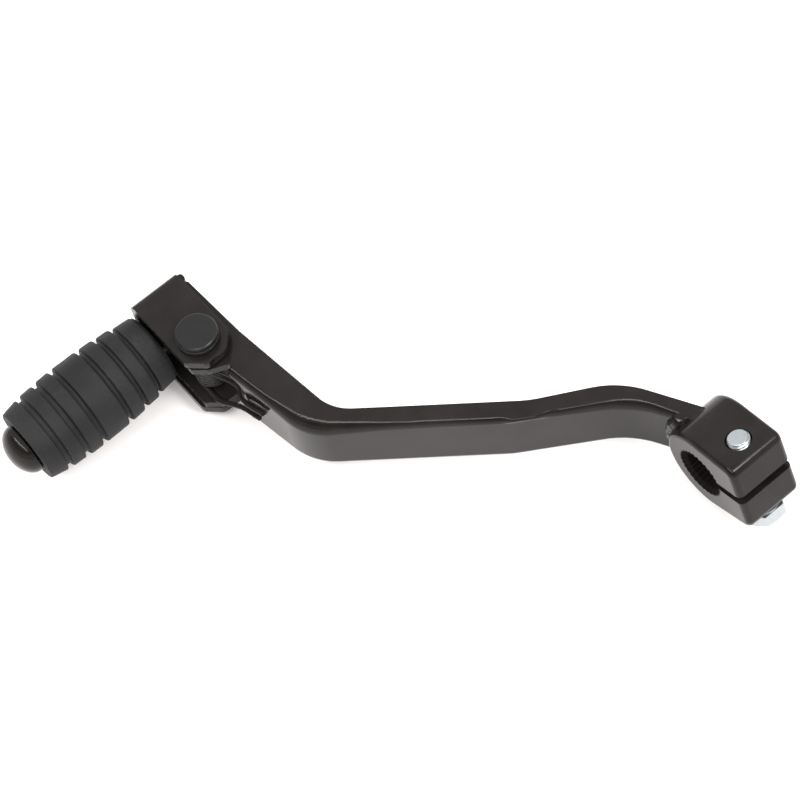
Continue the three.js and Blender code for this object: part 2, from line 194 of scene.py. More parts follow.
def mesh_object(name, points, faces):
    mesh = bpy.data.meshes.new(name)
    mesh.from_pydata([Vector(point) * MM for point in points], [], faces)
    bm = bmesh.new()
    bm.from_mesh(mesh)
    bmesh.ops.remove_doubles(bm, verts=bm.verts, dist=1e-4 * MM)
    bmesh.ops.recalc_face_normals(bm, faces=bm.faces)
    bm.to_mesh(mesh)
    bm.free()
    obj = bpy.data.objects.new(name, mesh)
    bpy.context.scene.collection.objects.link(obj)
    return obj


def ring_faces(count, rings, first=0, closed=False):
    """Faces between rings of as many points each, from that point on; closed joins the last to the first."""
    faces = []
    for ring in range(rings if closed else rings - 1):
        low = first + ring * count
        high = first + (ring + 1) % rings * count
        for index in range(count):
            after = (index + 1) % count
            faces.append((low + index, low + after, high + after, high + index))
    return faces


def loft_faces(rings, first=0):
    """The faces of a closed solid through rings: its two ends, then its sides."""
    count = len(rings[0])
    end = first + len(rings) * count
    caps = [tuple(range(first, first + count)), tuple(range(end - count, end))]
    return caps + ring_faces(count, len(rings), first)


def lofted(name, rings):
    return mesh_object(name, [point for ring in rings for point in ring], loft_faces(rings))


def upright(name, outline, low, high):
    return lofted(name, [[(x, y, z) for x, y in outline] for z in (low, high)])


def across(name, outline, low, high):
    """A side outline of x, z, from low to high along Y."""
    return lofted(name, [[(x, y, z) for x, z in outline] for y in (low, high)])


def turned(name, profile, sides=96, axis="Z"):
    """A profile of radius, height turned about an axis. It starts and ends there, or closes on itself."""
    closed = profile[0][0] > 0
    points = []
    for radius, height in profile:
        for side in range(sides):
            angle = side * 2 * math.pi / sides
            across_axis = (radius * math.cos(angle), radius * math.sin(angle))
            if axis == "Z":
                points.append((across_axis[0], across_axis[1], height))
            else:
                points.append((across_axis[0], height, across_axis[1]))
    return mesh_object(name, points, ring_faces(sides, len(profile), closed=closed))


def baked(obj):
    """Its modifiers become part of its mesh."""
    depsgraph = bpy.context.evaluated_depsgraph_get()
    mesh = bpy.data.meshes.new_from_object(obj.evaluated_get(depsgraph))
    obj.modifiers.clear()
    old = obj.data
    obj.data = mesh
    bpy.data.meshes.remove(old)
    return obj


def combined(target, other, operation="DIFFERENCE"):
    modifier = target.modifiers.new("combine", "BOOLEAN")
    modifier.object = other
    modifier.operation = operation
    modifier.solver = "EXACT"
    baked(target)
    bpy.data.objects.remove(other)
    return target


def tidied(obj):
    """Flat regions become single faces, so that bevels run cleanly along the edges."""
    bm = bmesh.new()
    bm.from_mesh(obj.data)
    bmesh.ops.remove_doubles(bm, verts=bm.verts, dist=0.01 * MM)
    bmesh.ops.dissolve_limit(bm, angle_limit=math.radians(0.5), verts=bm.verts, edges=bm.edges)
    bm.to_mesh(obj.data)
    bm.free()
    return obj


def softened(obj, width, segments=3, sharp=30):
    """Every edge sharper than that angle is rounded."""
    modifier = obj.modifiers.new("edges", "BEVEL")
    modifier.width = width * MM
    modifier.segments = segments
    modifier.limit_method = "ANGLE"
    modifier.angle_limit = math.radians(sharp)
    return baked(obj)


def smoothed(obj, sharp=50):
    obj.data.shade_smooth()
    obj.data.set_sharp_from_angle(angle=math.radians(sharp))
    modifier = obj.modifiers.new("normals", "WEIGHTED_NORMAL")
    modifier.keep_sharp = True
    return baked(obj)


def shifted(obj, x):
    obj.data.transform(Matrix.Translation(Vector((x, 0, 0)) * MM))
    return obj


def placed(obj, body, material, at=RIVET, tilt=0.0):
    """Moves a piece drawn around the rivet or the bore to its place and fixes it to a body."""
    obj.data.transform(Matrix.Translation(at * MM) @ Matrix.Rotation(tilt, 4, "Y"))
    obj.data.materials.clear()
    obj.data.materials.append(material)
    if body:
        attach(obj, body)
    return obj


def arc(centre, radius, start, end, steps):
    """Points on an arc between two angles in degrees, both ends included."""
    points = []
    for step in range(steps + 1):
        angle = math.radians(start + (end - start) * step / steps)
        points.append((centre[0] + radius * math.cos(angle), centre[1] + radius * math.sin(angle)))
    return points


def circle(radius, sides=60, centre=(0, 0)):
    return arc(centre, radius, 0, 360 - 360 / sides, sides - 1)


def rounded(corners, steps=8, closed=True):
    """An outline whose corners are x, y, radius. Each corner with a radius becomes an arc."""
    points = []
    for index, (x, y, radius) in enumerate(corners):
        if radius == 0 or (not closed and index in (0, len(corners) - 1)):
            points.append((x, y))
            continue
        corner = Vector((x, y))
        before = (Vector(corners[index - 1][:2]) - corner).normalized()
        after = (Vector(corners[(index + 1) % len(corners)][:2]) - corner).normalized()
        half = before.angle(after) / 2
        centre = corner + (before + after).normalized() * (radius / math.sin(half))
        from_centre = corner + before * (radius / math.tan(half)) - centre
        turn = math.pi - 2 * half
        if before.cross(after) > 0:
            turn = -turn
        for step in range(steps + 1):
            spoke = Matrix.Rotation(turn * step / steps, 2) @ from_centre
            points.append(tuple(centre + spoke))
    return points


def ball(centre, radius, segments=16, rows=10):
    """The rings of a ball, for a loft."""
    x, y, z = centre
    rings = []
    for row in range(rows + 1):
        slope = math.pi * row / rows
        across_axis = max(radius * math.sin(slope), 0.01)
        level = z + radius * math.cos(slope)
        rings.append([(a, b, level) for a, b in circle(across_axis, segments, (x, y))])
    return rings


def divided(points, spacing):
    """The same open path with extra points along its straight runs."""
    dense = []
    for start, end in zip(points, points[1:]):
        start = Vector(start)
        end = Vector(end)
        count = max(1, round((end - start).length / spacing))
        dense += [start.lerp(end, index / count) for index in range(count)]
    return dense + [Vector(points[-1])]


def inward_normals(path):
    """For each point, the way to the channel's hollow side."""
    normals = []
    for index in range(len(path)):
        along = path[min(index + 1, len(path) - 1)] - path[max(index - 1, 0)]
        normals.append(Vector((-along.y, along.x)).normalized())
    return normals


def rounding(half, radius, steps=6):
    """Levels of a solid with rounded ends: height, and how far its outline is drawn in there."""
    levels = []
    for step in range(steps + 1):
        angle = math.pi / 2 * step / steps
        levels.append((half - radius * (1 - math.cos(angle)), radius * (1 - math.sin(angle))))
    below = [(-height, inset) for height, inset in levels]
    return below + levels[::-1]


# ---------------------------------------------------------------- materials


NOISE_SPAN = (0.3, 0.7)  # where most of a noise pattern's values lie


def color_mix(nodes, links, factor, first, second):
    """A colour between two, or between a socket and a colour, by a factor socket."""
    node = nodes.new("ShaderNodeMix")
    node.data_type = "RGBA"
    links.new(factor, node.inputs["Factor"])
    for side, color in (("A", first), ("B", second)):
        socket = [s for s in node.inputs if s.name == side and s.type == "RGBA"][0]
        if isinstance(color, tuple):
            socket.default_value = (*color, 1)
        else:
            links.new(color, socket)
    return [s for s in node.outputs if s.type == "RGBA"][0]


class Shader:
    """A node material around one Principled shader, patterned in the object's own coordinates."""

    def __init__(self, name, color, roughness, metallic=0.0, specular=0.5, coat=0.0):
        self.material = bpy.data.materials.new(name)
        self.material.use_nodes = True
        self.nodes = self.material.node_tree.nodes
        self.links = self.material.node_tree.links
        self.surface = self.nodes["Principled BSDF"]
        self.surface.inputs["Base Color"].default_value = (*color, 1)
        self.surface.inputs["Roughness"].default_value = roughness
        self.surface.inputs["Metallic"].default_value = metallic
        self.surface.inputs["Specular IOR Level"].default_value = specular
        self.surface.inputs["Coat Weight"].default_value = coat
        self.place = self.nodes.new("ShaderNodeTexCoord").outputs["Object"]

    def noise(self, scale, detail=3.0, roughness=0.5):
        node = self.nodes.new("ShaderNodeTexNoise")
        node.inputs["Scale"].default_value = scale
        node.inputs["Detail"].default_value = detail
        node.inputs["Roughness"].default_value = roughness
        self.links.new(self.place, node.inputs["Vector"])
        return node.outputs["Fac"]

    def mapped(self, value, from_low, from_high, to_low, to_high):
        node = self.nodes.new("ShaderNodeMapRange")
        node.inputs["From Min"].default_value = from_low
        node.inputs["From Max"].default_value = from_high
        node.inputs["To Min"].default_value = to_low
        node.inputs["To Max"].default_value = to_high
        self.links.new(value, node.inputs["Value"])
        return node.outputs["Result"]

    def product(self, first, second):
        node = self.nodes.new("ShaderNodeMath")
        node.operation = "MULTIPLY"
        self.links.new(first, node.inputs[0])
        self.links.new(second, node.inputs[1])
        return node.outputs["Value"]

    def mixed(self, factor, first, second):
        return color_mix(self.nodes, self.links, factor, first, second)

    def bumped(self, heights):
        """Adds bumps: height socket, strength and depth in metres, one on top of the other."""
        normal = None
        for height, strength, depth in heights:
            node = self.nodes.new("ShaderNodeBump")
            node.inputs["Strength"].default_value = strength
            node.inputs["Distance"].default_value = depth
            self.links.new(height, node.inputs["Height"])
            if normal:
                self.links.new(normal, node.inputs["Normal"])
            normal = node.outputs["Normal"]
        self.links.new(normal, self.surface.inputs["Normal"])

    def color(self, socket):
        self.links.new(socket, self.surface.inputs["Base Color"])

    def roughness(self, socket):
        self.links.new(socket, self.surface.inputs["Roughness"])


def black_coat(name, roughness=0.14, peel=0.2, specular=0.15):
    """Black powder coat: a little orange peel, cloudy gloss, and a few pale dust specks."""
    shader = Shader(name, (0.005, 0.005, 0.005), roughness, specular=specular)
    clouds = shader.noise(70, 4, 0.6)
    specks = shader.mapped(shader.noise(2600, 2), 0.72, 0.78, 0, 1)
    patches = shader.mapped(shader.product(clouds, shader.mapped(shader.noise(16, 3), *NOISE_SPAN, 0.8, 1.2)),
                            0.32, 0.68, 0, 1)
    coat = shader.mixed(patches, (0.0078, 0.0064, 0.0057), (0.0142, 0.0119, 0.011))
    shader.color(shader.mixed(specks, coat, (0.034, 0.031, 0.029)))
    shader.roughness(shader.mapped(clouds, *NOISE_SPAN, roughness - 0.03, roughness + 0.07))
    shader.bumped([(shader.noise(900, 2), peel, 0.00003), (shader.noise(90, 2), peel, 0.00006)])
    return shader.material


def rivet_black():
    """Blackened steel: duller than the coat, with fine turning marks."""
    shader = Shader("rivet_black", (0.006, 0.0059, 0.0057), 0.34, specular=0.25)
    wear = shader.noise(420, 4, 0.6)
    shader.color(shader.mixed(wear, (0.004, 0.0038, 0.0036), (0.01, 0.0097, 0.0094)))
    shader.roughness(shader.mapped(wear, *NOISE_SPAN, 0.28, 0.42))
    shader.bumped([(shader.noise(1500, 2), 0.25, 0.00003)])
    return shader.material


def spring_steel():
    """Oil-blackened spring wire, drawn lengthwise."""
    shader = Shader("spring_steel", (0.02, 0.019, 0.018), 0.3, 0.35, 0.3)
    wear = shader.noise(600, 3)
    shader.color(shader.mixed(wear, (0.01, 0.0097, 0.0093), (0.028, 0.027, 0.026)))
    shader.roughness(shader.mapped(wear, *NOISE_SPAN, 0.24, 0.4))
    shader.bumped([(shader.noise(1800, 2), 0.3, 0.00003)])
    return shader.material


def moulded_rubber():
    """Matte black rubber with a fine moulded grain and dusty, mottled patches."""
    shader = Shader("moulded_rubber", (0.015, 0.015, 0.015), 0.7, specular=0.2)
    dust = shader.product(shader.mapped(shader.noise(110, 4, 0.6), 0.4, 0.75, 0, 1),
                          shader.mapped(shader.noise(1400, 3), 0.35, 0.65, 0.2, 1))
    shader.color(shader.mixed(dust, (0.009, 0.009, 0.0091), (0.024, 0.024, 0.0244)))
    shader.roughness(shader.mapped(dust, 0, 1, 0.6, 0.85))
    shader.bumped([(shader.noise(2200, 3), 0.35, 0.00005), (shader.noise(260, 3), 0.25, 0.0002)])
    return shader.material


def zinc_plate():
    """Clear zinc plating: bluish white, slightly cloudy, with fine scratches."""
    shader = Shader("zinc_plate", (0.72, 0.77, 0.8), 0.3, 0.9)
    clouds = shader.noise(500, 4, 0.6)
    shader.color(shader.mixed(clouds, (0.31, 0.345, 0.36), (0.43, 0.455, 0.465)))
    shader.roughness(shader.mapped(clouds, *NOISE_SPAN, 0.22, 0.42))
    shader.bumped([(shader.noise(1600, 3), 0.4, 0.00004)])
    return shader.material


COAT = black_coat("black_coat")
BRACKET_COAT = black_coat("bracket_coat", 0.18, 0.25)
WELD_COAT = black_coat("weld_coat", 0.12, 0.3)
# The bore's lining: the coat with almost no reflection, painted shade that keeps the inside of the bore near
# black.
BORE_PAINTED_SHADE_COAT = black_coat("bore_coat_painted_shade", 0.5, 0.3, 0.02)
# The spring's legs: the wire's black made darker and duller than the coils' spring steel, painted shade so
# the legs sink into the fork's dark inside.
WIRE_IN_PAINTED_SHADE = black_coat("wire_legs_painted_shade", 0.3, 0.2, 0.1)
RIVET_BLACK = rivet_black()
SPRING_STEEL = spring_steel()
RUBBER = moulded_rubber()
ZINC = zinc_plate()


# ---------------------------------------------------------------- arm


def ear_corners():
    """The fork's ear from above: its front corner swings inside the bracket, its rear steps in to the web."""
    swing = math.degrees(math.asin(EAR_NEAR / EAR_FRONT))
    front = [(x, y, 0) for x, y in arc((0, 0), EAR_FRONT, 0, swing, 6)]
    rear = [(-4.4, EAR_NEAR, 1), (-7.4, 3, 3), (-9.4, -1.5, 1.2), (-11, -1.8, 0)]
    return [(EAR_FRONT, EAR_FAR, 1.2), *front, *rear]


def sheet_bend(x, side):
    """Outer radius where a flange turns from the web; the upper one opens out round two of the bends."""
    if side < 0:
        return SHEET_BEND
    first = math.exp(-(((x - FACE[1][0]) / FIRST_REACH) ** 2))
    last = math.exp(-(((x - FACE[3][0]) / LAST_REACH) ** 2))
    return SHEET_BEND + WIDE_BEND * first + WIDE_BEND / 2 * last


def pressing_bulge(x, side):
    """How far the upper edge was squeezed outward beside the second bend."""
    if side < 0:
        return 0
    return BULGE_HEIGHT * math.exp(-(((x - BULGE_X) / BULGE_REACH) ** 4))


def pressed_shell(face, normals):
    """The arm's outside: its face path and free edge, with the flanges turned over at the top and bottom."""
    rest = rounded([FACE[-1], *EDGE, *ear_corners(), FACE[0]], 12, closed=False)[1:-1]
    steps = 8
    quarter = [math.pi / 2 * step / steps for step in range(steps + 1)]
    rings = []
    for side, angle in [(-1, angle) for angle in quarter] + [(1, angle) for angle in quarter[::-1]]:
        ring = []
        for point, normal in zip(face, normals):
            bend = sheet_bend(point.x, side)
            squeeze = pressing_bulge(point.x, side) * math.cos(angle)
            x, y = point + normal * (bend * (1 - math.sin(angle)) - squeeze)
            ring.append((x, y, side * (CHANNEL_HALF - bend * (1 - math.cos(angle)))))
        height = side * (CHANNEL_HALF - SHEET_BEND * (1 - math.cos(angle)))
        rings.append(ring + [(x, y, height) for x, y in rest])
    return lofted("arm", rings)


def hollow_cutter(face, normals):
    """The channel's inside and the fork's gap: off the face by the sheet, then out past the free edge."""
    inner = [point + normal * SHEET for point, normal in zip(face, normals)]
    beyond = [(-96, -95), (-30, -60), (30, -30), (30, 20), (-10.5, 20)]
    corner = 0.6
    rings = []
    for height, inset in rounding(CHANNEL_HALF - SHEET, corner, 3):
        drawn_in = [point + normal * inset for point, normal in zip(inner, normals)]
        rings.append([(x, y, height) for x, y in [*drawn_in, *beyond]])
    return lofted("hollow", rings)


def notch_cutter():
    """The opening in the web behind the fork, where the spring's legs come out."""
    top = CHANNEL_HALF - SHEET
    fork = -8
    notch = rounded([(NOTCH_END, -FAR, 0), (NOTCH_END, top, 4), (fork, top, 0), (fork, -FAR, 0)])
    return across("notch", notch, -3.1, 5)


def rivet_hole():
    return upright("rivet_hole", circle(RIVET_RADIUS + HOLE_GAP), -FAR, FAR)


def arm():
    face = divided(rounded(FACE, 24, closed=False), FACE_SPACING)
    normals = inward_normals(face)
    whole = pressed_shell(face, normals)
    combined(whole, hollow_cutter(face, normals))
    combined(whole, lofted("dimple", ball((*DIMPLE, CHANNEL_HALF + DIMPLE_LEVEL), DIMPLE_BALL, 64, 32)))
    combined(whole, notch_cutter())
    combined(whole, rivet_hole())
    sunk_in_boss = 0.4
    barrel = circle(BOSS_RADIUS - sunk_in_boss, 90, (BORE.x, BORE.z))
    combined(whole, across("barrel", barrel, BORE.y - FAR, BORE.y + FAR))
    smoothed(softened(tidied(whole), 0.28))
    return placed(whole, "lever", COAT)


# ---------------------------------------------------------------- clamp boss


def boss_outline(inset):
    """From the side with the ears to -x, leaving the barrel at a tangent; drawn in all round by the inset."""
    taper = math.radians(EAR_TAPER)
    corner = EAR_CORNER - inset
    ear_x = EAR_CORNER - EAR_REACH
    ear_z = (BOSS_RADIUS - EAR_CORNER) / math.cos(taper) + ear_x * math.tan(taper)
    lower = arc((ear_x, -ear_z), corner, 180, 270 - EAR_TAPER, 8)
    barrel = arc((0, 0), BOSS_RADIUS - inset, -90 - EAR_TAPER, 90 + EAR_TAPER, 64)
    upper = arc((ear_x, ear_z), corner, 90 + EAR_TAPER, 180, 8)
    return lower + barrel + upper


def toothed_circle(tip, root):
    """V teeth all round the bore's axis."""
    corners = SPLINE_TEETH * 2
    points = []
    for index in range(corners):
        angle = 2 * math.pi * index / corners
        radius = tip if index % 2 == 0 else root
        points.append((radius * math.cos(angle), radius * math.sin(angle)))
    return points


def slit_cutter():
    slit = [(-FAR, -SLIT / 2), (0, -SLIT / 2), (0, SLIT / 2), (-FAR, SLIT / 2)]
    return across("slit", slit, -FAR, FAR)


def clamp_boss():
    rings = []
    for along, inset in rounding(BOSS_HALF, BOSS_SOFT):
        rings.append([(x, along, z) for x, z in boss_outline(inset)])
    boss = lofted("boss", rings)
    spot = circle(BOLT_FLATS / math.sqrt(3) + SPOT_MARGIN, 60, (BOLT_X, 0))
    combined(boss, upright("spot_face", spot, -FAR, -BOLT_SEAT))
    combined(boss, slit_cutter())
    combined(boss, across("bore", toothed_circle(MOUTH_TIP, MOUTH_ROOT), -FAR, FAR))
    hole = circle(BOLT_RADIUS + HOLE_GAP, 60, (BOLT_X, 0))
    combined(boss, upright("bolt_hole", hole, -FAR, FAR))
    smoothed(softened(tidied(boss), 0.25))
    return placed(boss, "lever", COAT, Vector(), BOSS_TILT)


def serrations():
    """A closed ring lining the bore: teeth that open out at both mouths, cut through at the slit."""
    lip = BOSS_HALF - MOUTH_LIP
    deep = BOSS_HALF - MOUTH_DEPTH
    embedded = MOUTH_ROOT + 0.25  # the ring's outside, inside the boss's metal
    mouth = toothed_circle(MOUTH_TIP - 0.15, MOUTH_ROOT - 0.05)  # just proud of the boss's own cut
    bore = toothed_circle(SPLINE_TIP, SPLINE_ROOT)
    outer = toothed_circle(embedded, embedded)
    levels = [(-lip, mouth), (-deep, bore), (deep, bore), (lip, mouth), (lip, outer), (-lip, outer)]
    points = [(x, along, z) for along, outline in levels for x, z in outline]
    ring = mesh_object("bore_serrations", points, ring_faces(len(bore), len(levels), closed=True))
    combined(ring, slit_cutter())
    smoothed(ring, 30)
    # The lining takes the dull, unreflecting copy of the coat: painted shade for the inside of the bore.
    return placed(ring, "lever", BORE_PAINTED_SHADE_COAT, Vector(), BOSS_TILT)


def threaded_shank():
    """A real helical thread, chamfered at its end."""
    low = -BOLT_SEAT - 1
    high = BOLT_END
    sides = 36
    per_turn = 8
    chamfer_height = 0.6
    rows = round((high - low) / THREAD_PITCH * per_turn)
    rings = []
    for row in range(rows + 1):
        height = low + (high - low) * row / rows
        ring = []
        for side in range(sides):
            turn = side / sides
            wave = abs(((height / THREAD_PITCH - turn) % 1) * 2 - 1)
            chamfer = max(0, height - (high - chamfer_height))
            radius = min(BOLT_RADIUS - THREAD_DEPTH * wave, BOLT_RADIUS + 0.05 - chamfer)
            angle = 2 * math.pi * turn
            ring.append((BOLT_X + radius * math.cos(angle), radius * math.sin(angle), height))
        rings.append(ring)
    shank = lofted("pinch_bolt_thread", rings)
    smoothed(softened(shank, 0.12, 2, 70), 60)
    return placed(shank, "lever", ZINC, Vector(), BOSS_TILT)


def hexagon_head():
    """A hexagon with its corners chamfered by a cone, and a thin washer face."""
    top = -BOLT_SEAT - 0.15
    bottom = top - BOLT_HEAD
    corner = BOLT_FLATS / math.sqrt(3)
    hexagon = arc((BOLT_X, 0), corner, 30, 330, 5)
    head = upright("pinch_bolt_head", hexagon, bottom, top - 0.3)
    cut = BOLT_FLATS / 2 * 0.96
    slope = corner - cut
    clear = corner + 0.1
    low = bottom - 0.01
    profile = [(0, low), (cut, low), (clear, bottom + slope * 0.6), (clear, top), (0, top)]
    combined(head, shifted(turned("cone", profile, 72), BOLT_X), "INTERSECT")
    smoothed(softened(tidied(head), 0.12, 2, 20), 40)
    placed(head, "lever", ZINC, Vector(), BOSS_TILT)
    face_radius = cut - 0.1
    under = top - 0.4
    profile = [(0, under), (face_radius, under), (face_radius, top), (0, top)]
    washer_face = shifted(turned("bolt_washer_face", profile, 72), BOLT_X)
    smoothed(softened(washer_face, 0.1, 2), 40)
    placed(washer_face, "lever", ZINC, Vector(), BOSS_TILT)
    return head


# ---------------------------------------------------------------- welds


BOSS_BEAD = 2.5
PEG_BEAD = 1.35
BEAD_RIPPLE = 0.12
FILLET_HOLLOW = 5.0


def fused_weld(name, lofts, pits=(), voxel=0.3, lumps=0.16):
    """Overlapping solids melted into one lumpy bead, with gas pits: place, radius and depth of each."""
    points = []
    faces = []
    for rings in lofts:
        faces += loft_faces(rings, len(points))
        points += [point for ring in rings for point in ring]
    weld = mesh_object(name, points, faces)
    remesh = weld.modifiers.new("fuse", "REMESH")
    remesh.mode = "VOXEL"
    remesh.voxel_size = voxel * MM
    relax = weld.modifiers.new("relax", "SMOOTH")
    relax.factor = 0.5
    relax.iterations = 16
    baked(weld)
    for vertex in weld.data.vertices:
        place = vertex.co / MM
        rise = noise.noise(place * 0.7) * lumps + noise.noise(place * 1.6) * lumps / 4
        for pit, radius, depth in pits:
            reach = (place - Vector(pit)).length / radius
            rise -= depth * math.exp(-reach * reach)
        vertex.co += vertex.normal * rise * MM
    weld.data.shade_smooth()
    return weld


def flange_fillet(side, face_at):
    """The hollow fillet between one flange and the barrel: an x, z section run along the flange's depth."""
    level = abs(side * CHANNEL_HALF - BORE.z)  # from the bore axis to the flange's face
    centre_x = math.sqrt((BOSS_RADIUS + FILLET_HOLLOW) ** 2 - (level + FILLET_HOLLOW) ** 2)
    end = math.degrees(math.atan2(-level - FILLET_HOLLOW, -centre_x))
    curve = arc((centre_x, level + FILLET_HOLLOW), FILLET_HOLLOW, -90, end, 8)
    sunk = (BOSS_RADIUS - 1.5) / BOSS_RADIUS
    section = [(centre_x, level - 1.2), *curve, (curve[-1][0] * sunk, curve[-1][1] * sunk)]
    outer = face_at(BORE.x + centre_x) - 0.8
    rings = []
    for y in (outer - CHANNEL_DEPTH + 0.6, outer):
        rings.append([(BORE.x + x, y, BORE.z + side * z) for x, z in section])
    return rings


def boss_weld():
    last = Vector(FACE[-1][:2])
    slope = (last.y - FACE[-2][1]) / (last.x - FACE[-2][0])

    def face_at(x):
        return last.y + slope * (x - last.x)

    def barrel_front(z):
        height = min(abs(z - BORE.z), BOSS_RADIUS * 0.85)  # where the barrel turns too far away
        return BORE.x + math.sqrt(BOSS_RADIUS**2 - height**2)

    lofts = [flange_fillet(side, face_at) for side in (-1, 1)]
    lowest = -CHANNEL_HALF + 1.2
    length = 2 * CHANNEL_HALF - 3.8
    count = 30
    for index in range(count + 1):
        share = index / count
        z = lowest + length * share
        x = barrel_front(z) + 0.6
        radius = BOSS_BEAD + BEAD_RIPPLE * math.sin(index * 1.3)
        lofts.append(ball((x, face_at(x) - 0.4, z), radius))
    top_x = barrel_front(CHANNEL_HALF) + 0.8
    top = Vector((top_x, face_at(top_x), CHANNEL_HALF))
    pits = [(top + Vector((0.6, 1.2, -1.4)), 0.6, 0.7), (top + Vector((-0.4, 1.6, -3.6)), 0.7, 0.8)]
    weld = fused_weld("boss_weld", lofts, pits)
    return placed(weld, "lever", WELD_COAT)


def peg_weld(side):
    wall = BRACKET_FRONT - STRIP
    lofts = []
    count = 9
    for index in range(count + 1):
        y = -BRACKET_WIDTH / 2 + 2 + (BRACKET_WIDTH - 4) * index / count
        radius = PEG_BEAD + BEAD_RIPPLE * math.sin(index * 2.1)
        lofts.append(ball((wall - 1.0, y, side * (PEG_RADIUS - 0.3)), radius))
    name = "peg_weld_upper" if side > 0 else "peg_weld_lower"
    return placed(fused_weld(name + "_bead", lofts, (), 0.25), "toe_piece", WELD_COAT)


# ---------------------------------------------------------------- toe bracket, peg and rubber


def toe_bracket():
    inner = BRACKET_HALF - STRIP
    bend = BRACKET_BEND - STRIP
    outline = rounded([
        (-BRACKET_REAR, -BRACKET_HALF, 0),
        (BRACKET_FRONT, -BRACKET_HALF, BRACKET_BEND),
        (BRACKET_FRONT, BRACKET_HALF, BRACKET_BEND),
        (-BRACKET_REAR, BRACKET_HALF, 0),
        (-BRACKET_REAR, inner, 0),
        (BRACKET_FRONT - STRIP, inner, bend),
        (BRACKET_FRONT - STRIP, -inner, bend),
        (-BRACKET_REAR, -inner, 0),
    ], 12)
    bracket = across("bracket", outline, -BRACKET_WIDTH, BRACKET_WIDTH)
    half = BRACKET_WIDTH / 2
    plan = rounded([
        (BRACKET_FRONT + 1, -half, 0),
        (BRACKET_FRONT + 1, half, 0),
        (BRACKET_CUT - BRACKET_REAR, half, 2),
        (-BRACKET_REAR, half - BRACKET_CUT, 2),
        (-BRACKET_REAR, BRACKET_CUT - half, 2),
        (BRACKET_CUT - BRACKET_REAR, -half, 2),
    ])
    combined(bracket, upright("plan", plan, -FAR, FAR), "INTERSECT")
    lug_half = BRACKET_HALF - BRACKET_BEND
    wall = BRACKET_FRONT - STRIP
    lug_end = EAR_FAR - 0.2
    lug = rounded([(wall, -half + 1, 0), (wall, lug_end, 1), (BRACKET_FRONT, lug_end, 1),
                   (BRACKET_FRONT, -half + 1, 0)])
    combined(bracket, upright("lug", lug, -lug_half, lug_half), "UNION")
    combined(bracket, rivet_hole())
    smoothed(softened(tidied(bracket), 0.32))
    return placed(bracket, "toe_piece", BRACKET_COAT)


def leaned(obj):
    """Puts a turned piece on the peg's axis, which leans from its inner end."""
    set_back = BRACKET_WIDTH / 2 * math.sin(PEG_LEAN)
    place = Matrix.Translation(Vector((PEG_X - set_back, 0, 0)) * MM)
    obj.data.transform(place @ Matrix.Rotation(PEG_LEAN, 4, "Z"))
    return obj


def toe_peg():
    inner = -BRACKET_WIDTH / 2 + 0.5
    shoulder = GRIP_END + 0.15
    chamfer = 0.5
    rim = 0.3
    profile = [(0, inner), (PEG_RADIUS - chamfer, inner), (PEG_RADIUS, inner + chamfer),
               (PEG_RADIUS, shoulder), (DOME_RADIUS - rim, shoulder), (DOME_RADIUS, shoulder + rim)]
    edge = 0.5
    rise = DOME_HEIGHT - edge
    profile += [(DOME_RADIUS * x, shoulder + edge + rise * z) for x, z in arc((0, 0), 1, 0, 89, 20)]
    profile.append((0, shoulder + DOME_HEIGHT))
    peg = turned("toe_peg_bar", profile, 96, "Y")
    smoothed(peg, 40)
    return placed(leaned(peg), "toe_piece", COAT)


def arc_band(radius, end, corner, start_angle, end_angle):
    """The rounded corner of a band whose flat side is at that end: 180 to 90 opens it, 90 to 0 closes it."""
    inside = end + corner if start_angle == 180 else end - corner
    quarter = arc((inside, radius - corner), corner, start_angle, end_angle, 4)
    return [(outward, along) for along, outward in quarter]


def rubber_grip():
    """Bands with softly rounded corners, and grooves with filleted floors."""
    groove = 1.3
    fillet = 0.25
    corner = 0.45
    bore = PEG_RADIUS + 0.05
    lip = 9.3
    profile = [(bore, GRIP_START), (lip - 0.4, GRIP_START), (lip - 0.1, GRIP_START + 0.12),
               (lip, BANDS[0][0])]
    for start, end, start_radius, end_radius in BANDS:
        profile.append((start_radius - groove + fillet, start))
        profile += arc_band(start_radius, start, corner, 180, 90)
        growth = end_radius - start_radius
        steps = 4
        for step in range(1, steps):
            share = step / steps
            profile.append((start_radius + growth * share, start + (end - start) * share))
        profile += arc_band(end_radius, end, corner, 90, 0)
        if end != GRIP_END:
            profile.append((end_radius - groove + fillet, end))
            profile.append((end_radius - groove, end + fillet))
            profile.append((end_radius - groove + 0.05, end + 0.9))
    profile += [(8.2, GRIP_END), (7.4, GRIP_END - 0.2), (bore, GRIP_END - 0.2)]
    grip = turned("grip", profile, 160, "Y")
    waviness = 0.35
    wave_height = 0.08
    for vertex in grip.data.vertices:
        place = vertex.co / MM
        outward = Vector((place.x, 0, place.z)).normalized()
        vertex.co += outward * noise.noise(place * waviness) * wave_height * MM
    smoothed(grip, 60)
    return placed(leaned(grip), "toe_piece", RUBBER)


# ---------------------------------------------------------------- rivet and washers


def pivot_rivet():
    under = BRACKET_HALF + 0.3 + WASHER_THICKNESS
    top = under + HEAD_HEIGHT
    formed = HEAD_RADIUS * 0.95
    profile = [
        (0, -top),
        (formed * 0.62, -top),
        (formed * 0.86, -top + 0.35),
        (formed, -under - 0.4),
        (formed, -under),
        (RIVET_RADIUS, -under),
        (RIVET_RADIUS, under),
        (HEAD_RADIUS - 0.1, under),
        (HEAD_RADIUS, under + 0.1),
        (HEAD_RADIUS, top - 0.4),
        (HEAD_RADIUS - 0.12, top - 0.18),
        (HEAD_RADIUS - 0.4, top),
        (HEAD_RADIUS - 0.75, top),
        (HEAD_RADIUS - 0.95, top - 0.06),
        (0, top - 0.06),
    ]
    rivet = turned("rivet", profile, 96)
    smoothed(rivet, 25)
    return placed(rivet, "toe_piece", RIVET_BLACK)


